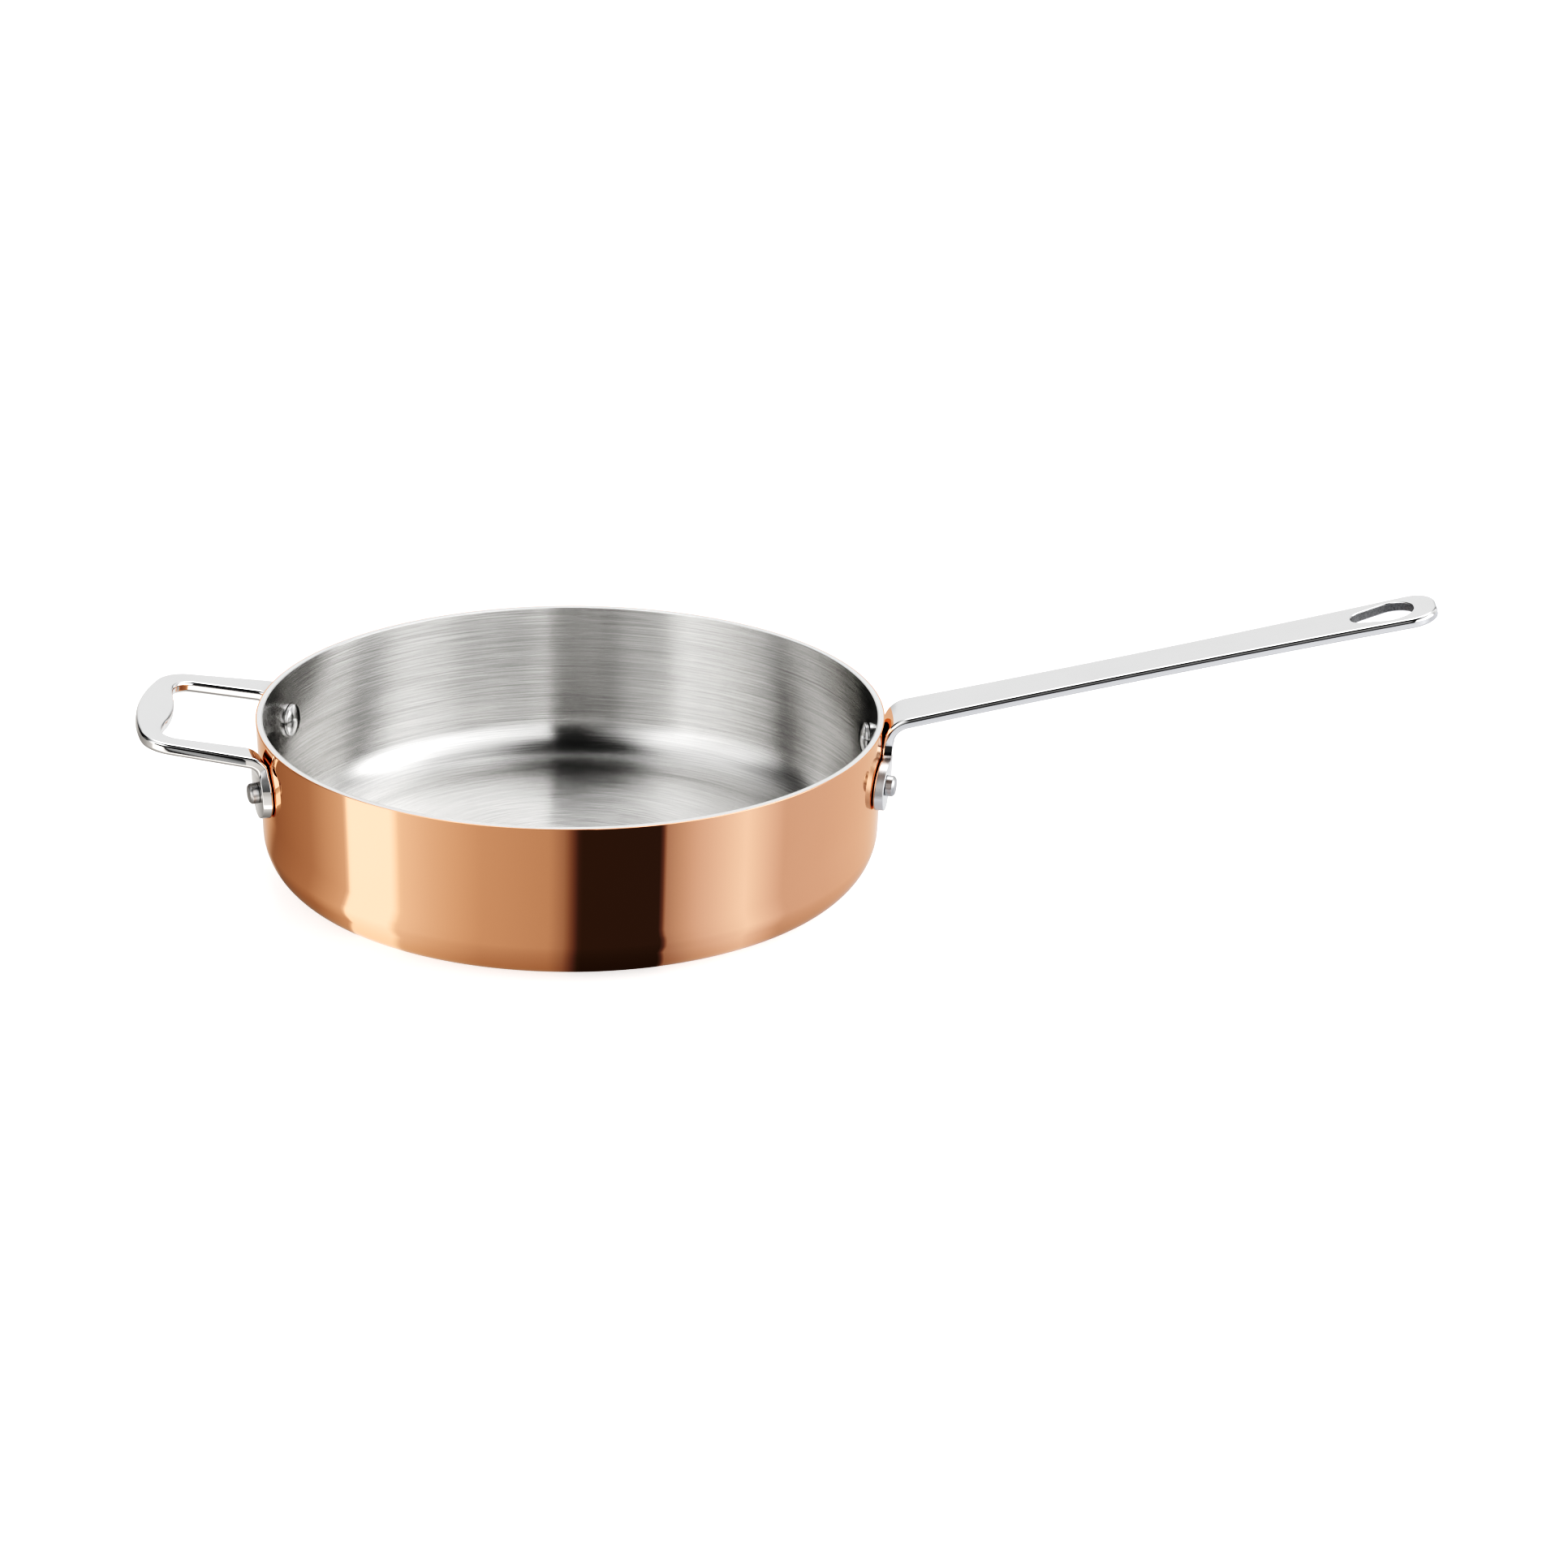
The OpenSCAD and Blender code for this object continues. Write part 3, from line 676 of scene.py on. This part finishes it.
def longOutline(way):
    # half of the plan: arch, lobe, shoulder and neck of the flange, then the bar, whose side is one long arc
    # round its waist, and the tip. The slot is two arcs and their tangents.
    h = longHandle
    upright = lambda p: np.stack([(p[:, 1] - way["z0"]) / cosine(pan["wallLean"]), p[:, 0]], 1)
    slope = cosine(h["slope"])

    def alongBar(p):
        x = way["start"][0] + p[:, 0] * slope
        return np.stack([way["bendLength"] + p[:, 0] + p[:, 1] ** 2 / (2 * x) * slope, p[:, 1]], 1)

    rivetZ = pan["rivetHeight"]
    lobe = np.array([h["rivetAside"], rivetZ - h["lobeDrop"] + h["lobeRadius"]])
    shoulder = np.array([h["rivetAside"] + h["lobeRadius"] - h["shoulderRadius"], rivetZ - h["shoulderDown"]])
    filletY = h["neckWidth"] / 2 + h["neckFillet"]
    rise = np.sqrt((h["shoulderRadius"] + h["neckFillet"]) ** 2 - (shoulder[0] - filletY) ** 2)
    fillet = np.array([filletY, shoulder[1] + rise])
    toFillet = np.degrees(np.arctan2(rise, filletY - shoulder[0]))
    arch = np.array([0, way["z0"] - h["webHeight"] - h["archRadius"]])
    archEnd = np.degrees(np.arcsin((lobe[1] - arch[1]) / h["archRadius"]))
    notch = np.array([h["archRadius"] * cosine(archEnd), lobe[1]])
    flange = upright(np.concatenate([
        arc(arch, h["archRadius"], 90, archEnd), line(notch, (lobe[0] - h["lobeRadius"], lobe[1])),
        arc(lobe, h["lobeRadius"], 180, 360), arc(shoulder, h["shoulderRadius"], 0, toFillet),
        arc(fillet, h["neckFillet"], toFillet + 180, 180)]))
    chord, sagitta = h["length"] - h["tipRadius"] - h["waistAt"], (h["tipWidth"] - h["waist"]) / 2
    sideRadius = (chord ** 2 + sagitta ** 2) / (2 * sagitta)
    u = np.linspace(0, h["length"] - h["tipRadius"], handleNet["sidePoints"])
    side = np.stack([u, h["waist"] / 2 + sideRadius - np.sqrt(sideRadius ** 2 - (u - h["waistAt"]) ** 2)], 1)
    tip = arc((h["length"] - h["tipRadius"], h["tipWidth"] / 2 - h["tipRadius"]), h["tipRadius"], 90, 0)
    bar = alongBar(np.concatenate([side, tip, [[h["length"], 0]]]))
    half = np.concatenate([flange, bar])
    outline = np.concatenate([half * [1, -1], half[::-1]])
    # the arch's ends and the lobes' inner sides are rounded off
    asides = -notch[0], notch[0], h["lobeRadius"] - lobe[0], lobe[0] - h["lobeRadius"]
    corners = [(corner, h["cornerReach"]) for corner in upright(np.array([[y, lobe[1]] for y in asides]))]
    outline = finishedLoop(outline, corners, ease=0.8, step=0.7, outer=True)

    big = h["length"] - h["slotToTip"] - h["slotBig"]
    small = h["length"] - h["slotToTip"] - h["slotLength"] + h["slotSmall"]
    lean = 90 + np.degrees(np.arcsin((h["slotBig"] - h["slotSmall"]) / (big - small)))
    slot = np.concatenate([arc((big, 0), h["slotBig"], -lean, lean),
                           arc((small, 0), h["slotSmall"], lean, 360 - lean)])
    return outline, finishedLoop(alongBar(slot), [], ease=0.4, step=0.5, outer=False)


longWay = sheetWay(longHandle)
outline, slot = longOutline(longWay)
verts, faces, normals, marks = sheetSurface(
    longWay, [outline, slot], [longHandle["edgeEase"], longHandle["slotEase"]], [False, True])
makePiece("longHandle", verts, faces, normals, [handlePolish, slotCast, edgeSatin],
          "long_handle", marks)
print("long handle made")


loopHandle = {
    "thickness": 5.0, "flange": 4.2, "bendBelowRim": 12.7, "bendRadius": 3.5, "slope": 7.6, "bendEase": 0.9,
    "reach": 60.0, "out": 50.8, "gapWidth": 65.6, "lobeRadius": 9.2, "lobeDrop": 11.5, "shoulderRadius": 14.0,
    "shoulderDown": 7.6, "gapCorner": 8.0, "gripDepth": 13.0, "bulge": 2.4, "bulgeHalf": 19.0,
    "cornerRadius": 16.0, "cornerAside": 27.0, "endRadius": 107.0, "legSpread": 6.4,
    "legFrom": 126.0, "gapFrom": 134.5,  # x where the legs' outer and inner sides begin
    "tipMargin": 0.04, "meetReach": 5.0, "bulgeReach": 6.0,
    "edgeEase": ((1.0, 1.5), (0.3, 1.7)),
}


def loopOutline(way):
    # half of the plan: end arc, corner, spread leg, shoulder and lobe of the foot, then the finger gap with
    # the bulge of the grip
    h = loopHandle
    # the end leans with the sheet, so the plan is drawn back by what its lower half stands out
    pulledBack = (h["thickness"] - h["edgeEase"][1][1]) * sine(h["slope"]) + h["tipMargin"]
    backRadius, backHeight = way["back"][:, 0], way["back"][:, 1]
    rising = way["s"] > 0

    def planned(p):
        radius = np.hypot(p[:, 0] - pulledBack * (p[:, 0] - pan["rimRadius"]) / h["out"], p[:, 1])
        return np.stack([np.interp(radius, backRadius[rising], way["s"][rising]), p[:, 1]], 1)

    upright = lambda p: np.stack([np.interp(p[:, 1], backHeight, way["s"]), p[:, 0]], 1)
    tip = pan["rimRadius"] + h["out"]
    end = tip - h["endRadius"]
    corner = np.array([end + np.sqrt((h["endRadius"] - h["cornerRadius"]) ** 2 - h["cornerAside"] ** 2),
                       h["cornerAside"]])
    endAngle = np.degrees(np.arctan2(corner[1], corner[0] - end))
    legAngle = 90 - h["legSpread"]
    tangent = corner + h["cornerRadius"] * np.array([cosine(legAngle), sine(legAngle)])
    legX = np.linspace(tangent[0], h["legFrom"], handleNet["legPoints"])
    leg = planned(np.stack([legX, tangent[1] + (tangent[0] - legX) * np.tan(np.radians(h["legSpread"]))], 1))
    gapHalf = h["gapWidth"] / 2
    lobe = np.array([gapHalf + h["lobeRadius"], pan["rivetHeight"] - h["lobeDrop"] + h["lobeRadius"]])
    shoulder = np.array([gapHalf + 2 * h["lobeRadius"] - h["shoulderRadius"], way["z0"] - h["shoulderDown"]])
    flare = upright(arc(shoulder, h["shoulderRadius"], 80, 0, step=0.1))
    beyond = flare[:, 1] - np.interp(flare[:, 0], leg[::-1, 0], leg[::-1, 1])
    first = int(np.argmax(beyond > 0))
    meet = flare[first]
    leg = leg[leg[:, 0] > meet[0]]
    lobeSide = lobe[0] + h["lobeRadius"]
    foot = upright(np.concatenate([line((lobeSide, shoulder[1]), (lobeSide, lobe[1])),
                                   arc(lobe, h["lobeRadius"], 0, -180)]))
    gripEnd = tip - h["gripDepth"]
    bulgeRadius = (h["bulgeHalf"] ** 2 + h["bulge"] ** 2) / (2 * h["bulge"])
    bulgeCentre = gripEnd - h["bulge"] + bulgeRadius
    bulgeY = np.linspace(h["bulgeHalf"], 0, handleNet["bulgePoints"])
    bulge = np.stack([bulgeCentre - np.sqrt(bulgeRadius ** 2 - bulgeY ** 2), bulgeY], 1)
    inner = planned(np.concatenate([
        line((h["gapFrom"], gapHalf), (gripEnd - h["gapCorner"], gapHalf)),
        arc((gripEnd - h["gapCorner"], gapHalf - h["gapCorner"]), h["gapCorner"], 90, 0),
        line((gripEnd, gapHalf - h["gapCorner"]), (gripEnd, h["bulgeHalf"])), bulge]))
    outer = planned(np.concatenate([arc((end, 0), h["endRadius"], 0, endAngle),
                                    arc(corner, h["cornerRadius"], endAngle, legAngle)]))
    half = np.concatenate([outer, leg, flare[first:], foot, inner])
    bulgeStart = planned(np.array([[gripEnd, h["bulgeHalf"]]]))[0]
    reaches = (meet, h["meetReach"]), (bulgeStart, h["bulgeReach"])
    corners = [(point * [1, sign], reach) for point, reach in reaches for sign in (-1, 1)]
    whole = np.concatenate([half, half[::-1] * [1, -1]])
    return finishedLoop(whole, corners, ease=0.8, step=0.6, outer=True)


loopWay = sheetWay(loopHandle)
outline = loopOutline(loopWay)
verts, faces, normals, marks = sheetSurface(loopWay, [outline], [loopHandle["edgeEase"]], [False])
halfTurn = np.array([-1, -1, 1])  # the loop is drawn along +X and turned round to -X
makePiece("loopHandle", verts * halfTurn, faces, normals * halfTurn, [handlePolish],
          "loop_handle")
print("loop handle made")

loopAside = loopHandle["gapWidth"] / 2 + loopHandle["lobeRadius"]
for side, word in ((1, "left"), (-1, "right")):
    for start, handle, aside, facing, sense in (("long", longHandle, longHandle["rivetAside"], 0, 1),
                                                ("loop", loopHandle, loopAside, 180, -1)):
        turn = np.degrees(np.arcsin(aside / wallRadius(pan["rivetHeight"])))
        placedRivet(start + "Rivet" + word.title(), start + "_handle_rivet_" + word,
                    facing + sense * side * turn, handle["flange"])
print("rivets made")


# Floor, light and camera. Polished metal sees a studio of its own: strips of light on the floor, a dark card
# and a room. The camera sees a pale floor and a plain background.

def stageSheet(name, corners):
    # one flat matt sheet that isn't part of the object
    mesh = bpy.data.meshes.new(name)
    mesh.from_pydata(corners, [], [(0, 1, 2, 3)])
    material, tree, shader = newMaterial(name)
    shader.inputs["Specular IOR Level"].default_value = 0.0
    mesh.materials.append(material)
    sheet = newObject(name, mesh)
    return sheet, tree, shader


def levelSquare(half, z):
    # corners of a level square round the pan's axis
    return [(-half, -half, z), (half, -half, z), (half, half, z), (-half, half, z)]


def onlyInMetal(sheet, tree, shader, light, strength):
    # black but for the light that it sends out, and only reflections show it
    feed(tree, shader, {"Base Color": grey(0.0), "Emission Color": light, "Emission Strength": strength})
    sheet.visible_camera = sheet.visible_diffuse = sheet.visible_shadow = False


def eitherShader(tree, choice, first, second, output):
    # the first shader where the choice is 0, the second where it is 1
    node = tree.nodes.new("ShaderNodeMixShader")
    feed(tree, node, {0: choice, 1: first.outputs[0], 2: second.outputs[0]})
    tree.links.new(node.outputs[0], output.inputs[0])


floorLook = {"half": 6.0, "tone": 0.95, "glow": 0.60, "z": -0.0001}  # z is just below the base


def paleFloor():
    floor, tree, shader = stageSheet("paleFloor", levelSquare(floorLook["half"], floorLook["z"]))
    feed(tree, shader, {"Base Color": grey(floorLook["tone"]), "Roughness": 1.0, "Emission Color": grey(1.0),
                        "Emission Strength": floorLook["glow"]})
    below = tree.nodes.new("ShaderNodeNewGeometry").outputs["Backfacing"]
    clear = tree.nodes.new("ShaderNodeBsdfTransparent")  # so that the base can be seen from below
    eitherShader(tree, below, shader, clear, tree.nodes["Material Output"])
    floor.visible_glossy = False  # polished metal sees the studio round it, not the floor


def stopsNode(tree, share, stops):
    # a colour for each place from 0 to 1, and even changes between them
    ramp = tree.nodes.new("ShaderNodeValToRGB")
    tree.links.new(share, ramp.inputs[0])
    elements = ramp.color_ramp.elements
    while len(elements) < len(stops):
        elements.new(0.5)
    for element, (place, color) in zip(elements, stops):
        element.position = place
    for element, (place, color) in zip(elements, stops):
        element.color = (*color, 1.0)
    return ramp.outputs[0]


def azimuthStops(tree, share, levels, tints=()):
    # levels by azimuth, as parts of a strength a little over the brightest one
    strength = 1.1 * max(level for azimuth, level in levels)
    stops = []
    for azimuth, level in levels:
        tint = next((tint for (low, high), tint in tints if low < azimuth < high), grey(1.0))
        stops.append(((azimuth + 180) / 360, [level * part / strength for part in tint]))
    return stopsNode(tree, share, stops), strength


# What lies round the pan on the floor, as polished metal sees it: light and dark strips that run away from
# the pan. A point of the wall at azimuth a mirrors the strip at 2a. Azimuth 0 is the camera's side (-Y), 90
# the long handle's side (+X). Spans are distances from the pan's axis, in millimetres.
strips = {
    "levels": [(-180, 0.83), (-150, 0.60), (-140, 0.33), (-110, 0.43), (-94, 0.60), (-89, 0.66),
               (-87, 1.36), (-67, 1.36), (-63, 0.86), (-50, 0.72), (-30, 0.56), (-5, 0.50), (0, 0.38),
               (6, 0.12), (36, 0.12), (38, 0.44), (50, 0.66), (70, 0.95), (88, 0.62), (110, 0.65),
               (140, 0.73), (180, 0.83)],
    "tints": [((-160, 0), (1.0, 0.964, 0.925)), ((30, 160), (1.0, 1.01, 1.05))],
    "shadeSpan": (95.0, 148.0), "shade": 0.55,  # darker under the pan
    "footSpan": (140.0, 175.0), "footTurn": 0.08,  # turned near the foot, so that the corner's strips run on
    "plainSpan": (108.0, 112.0), "plain": 0.55,  # no strips right below the flat base
    "half": 6.0, "z": -0.0002,
}


def stripFloor():
    floor, tree, shader = stageSheet("stripFloor", levelSquare(strips["half"], strips["z"]))
    x, y = apartNode(tree, coordinate(tree))[:2]
    times = lambda first, second: mathNode(tree, "MULTIPLY", first, second)
    radius = pan["rimRadius"] * mm
    fromAxis = axisDistance(tree, x, y)
    # points under the pan take the strip at the wall's foot
    outward = mathNode(tree, "MAXIMUM", mathNode(tree, "DIVIDE", radius, fromAxis), 1.0)
    x, y = times(x, outward), times(y, outward)
    # a solves x cos 2a + y sin 2a + R sin a = 0: a first guess and two Newton steps
    a = times(mathNode(tree, "ARCTAN2", x, mathNode(tree, "SUBTRACT", -radius / 2, y)), 0.5)
    for step in range(2):
        sin2, cos2 = mathNode(tree, "SINE", times(a, 2.0)), mathNode(tree, "COSINE", times(a, 2.0))
        value = mathNode(tree, "MULTIPLY_ADD", mathNode(tree, "SINE", a), radius,
                         mathNode(tree, "ADD", times(x, cos2), times(y, sin2)))
        slope = mathNode(tree, "SUBTRACT", times(y, cos2), times(x, sin2))
        slope = mathNode(tree, "MULTIPLY_ADD", slope, 2.0, times(mathNode(tree, "COSINE", a), radius))
        a = mathNode(tree, "SUBTRACT", a, mathNode(tree, "DIVIDE", value, slope))

    def byDistance(span, first, second):
        # from the first number to the second over the span
        share = tree.nodes.new("ShaderNodeMapRange")
        feed(tree, share, {"Value": fromAxis, "From Min": span[0] * mm, "From Max": span[1] * mm,
                           "To Min": first, "To Max": second})
        return share.outputs[0]

    a = times(a, byDistance(strips["footSpan"], 1 - strips["footTurn"], 1.0))
    levels, strength = azimuthStops(tree, mathNode(tree, "MULTIPLY_ADD", a, 1 / np.pi, 0.5), strips["levels"],
                                    strips["tints"])
    shaded = tree.nodes.new("ShaderNodeVectorMath")
    shaded.operation = "SCALE"
    tree.links.new(levels, shaded.inputs[0])
    tree.links.new(byDistance(strips["shadeSpan"], strips["shade"], 1.0), shaded.inputs["Scale"])
    light = mixNode(tree, byDistance(strips["plainSpan"], 0.0, 1.0), grey(strips["plain"] / strength),
                    shaded.outputs[0])
    onlyInMetal(floor, tree, shader, light, strength)


# A dark card in front of the loop's near leg: an upright sheet facing -Y, with levels from its lower to its
# upper edge. Its ends are x and the height of the lower edge there.
legCard = {"from": (-0.138, 0.0564), "to": (-0.215, 0.0667), "height": 0.018, "y": -0.06,
           "levels": [(0.0, 0.10), (0.05, 0.10), (0.08, 0.45), (0.15, 0.36), (0.20, 0.10), (0.25, 0.05)]}


def darkCard():
    (x0, low0), (x1, low1), y, height = legCard["from"], legCard["to"], legCard["y"], legCard["height"]
    card, tree, shader = stageSheet("legCard", [(x0, y, low0), (x0, y, low0 + height), (x1, y, low1 + height),
                                                (x1, y, low1)])
    x, y, z = apartNode(tree, coordinate(tree))
    slope = (low1 - low0) / (x1 - x0)
    over = mathNode(tree, "SUBTRACT", mathNode(tree, "MULTIPLY_ADD", x, -slope, z), low0 - slope * x0)
    light = stopsNode(tree, mathNode(tree, "DIVIDE", over, height),
                      [(place, grey(level)) for place, level in legCard["levels"]])
    onlyInMetal(card, tree, shader, light, 1.0)


# The room over the horizon, by the same azimuths, and the ceiling. Overhead it is dark in front of the pan,
# less so at the sides, and light behind it, most in the middle.
studio = {
    "ring": [(-180, 0.83), (-160, 0.80), (-143, 0.04), (-128, 0.05), (-110, 0.20), (-100, 0.12),
             (-90, 0.45), (-78, 1.05), (-62, 1.15), (-45, 1.55), (-36, 1.50), (-28, 0.95), (-15, 0.45),
             (-3, 0.12), (9, 0.11), (11, 1.35), (35, 1.60), (60, 2.00), (78, 2.40), (96, 2.60),
             (108, 0.50), (125, 0.75), (142, 0.95), (152, 0.25), (165, 0.80), (180, 0.83)],
    "ceilingFrom": (35, 60),  # elevations over which the ring becomes the ceiling
    "left": 0.80, "front": 0.05, "frontRight": 0.50, "behind": 1.20, "behindMiddle": 3.00,
    "turn": (0.0, 0.3), "aside": (0.15, 0.38), "leftTurn": (-0.45, -0.2),  # parts of a direction's y and x
    "shown": 1.0,
}


def studioWorld():
    world = bpy.data.worlds.new("studio")
    bpy.context.scene.world = world
    world.use_nodes = True
    tree = world.node_tree
    tree.nodes.clear()
    x, y, z = apartNode(tree, coordinate(tree, "Generated"))
    azimuth = mathNode(tree, "ARCTAN2", x, mathNode(tree, "MULTIPLY", y, -1.0))
    elevation = mathNode(tree, "MULTIPLY", mathNode(tree, "ARCSINE", z), 180 / np.pi)
    ring, strength = azimuthStops(tree, mathNode(tree, "MULTIPLY_ADD", azimuth, 0.5 / np.pi, 0.5),
                                  studio["ring"])
    level = lambda name: grey(studio[name] / strength)

    def blend(value, span, first, second):
        # from the first colour to the second while the value passes through the span
        share = tree.nodes.new("ShaderNodeMapRange")
        share.interpolation_type = "SMOOTHSTEP"
        feed(tree, share, {"Value": value, "From Min": span[0], "From Max": span[1]})
        return mixNode(tree, share.outputs[0], first, second)

    front = blend(x, studio["aside"], level("front"), level("frontRight"))
    behind = blend(mathNode(tree, "ABSOLUTE", x), studio["aside"], level("behindMiddle"), level("behind"))
    ceiling = blend(x, studio["leftTurn"], level("left"), blend(y, studio["turn"], front, behind))
    room, plain = tree.nodes.new("ShaderNodeBackground"), tree.nodes.new("ShaderNodeBackground")
    feed(tree, room, {"Color": blend(elevation, studio["ceilingFrom"], ring, ceiling), "Strength": strength})
    plain.inputs["Strength"].default_value = studio["shown"]
    eitherShader(tree, tree.nodes.new("ShaderNodeLightPath").outputs["Is Camera Ray"], room, plain,
                 tree.nodes.new("ShaderNodeOutputWorld"))


# Found from the rim's ellipse and the handles' outlines: azimuth is to the right of -Y
camera = {"azimuth": -0.4, "elevation": 21.565, "roll": 0.718, "lens": 130.217, "sensor": 36.0,
          "place": (0.07501, -2.24501, 0.92630), "clip": (0.05, 50)}


def photoCamera():
    # it looks along -back, with the picture's sides turned by the roll
    c, azimuth, elevation = camera, camera["azimuth"], camera["elevation"]
    level = np.array([cosine(azimuth), sine(azimuth), 0])
    toward = np.array([sine(azimuth), -cosine(azimuth), 0])
    back = toward * cosine(elevation) + np.array([0, 0, sine(elevation)])
    rise = np.cross(back, level)
    right = level * cosine(c["roll"]) + rise * sine(c["roll"])
    up = rise * cosine(c["roll"]) - level * sine(c["roll"])
    data = bpy.data.cameras.new("photoCamera")
    data.lens, data.sensor_width, data.sensor_fit = c["lens"], c["sensor"], "HORIZONTAL"
    data.clip_start, data.clip_end = c["clip"]
    eye = newObject("photoCamera", data)
    eye.matrix_world = Matrix([*zip(right, up, back, c["place"]), (0, 0, 0, 1)])
    bpy.context.scene.camera = eye


# The contrast of a product photograph: darks go down, lights stay
contrast = [(0.06, 0.005), (0.12, 0.027), (0.2, 0.114), (0.3, 0.27), (0.42, 0.449), (0.55, 0.626),
            (0.7, 0.774), (0.85, 0.899)]


def photoContrast():
    view = bpy.context.scene.view_settings
    view.view_transform = "Standard"
    view.use_curve_mapping = True
    for x, y in contrast:
        view.curve_mapping.curves[3].points.new(x, y)
    view.curve_mapping.update()


paleFloor()
stripFloor()
darkCard()
studioWorld()
photoCamera()
photoContrast()
print("studio and camera made")
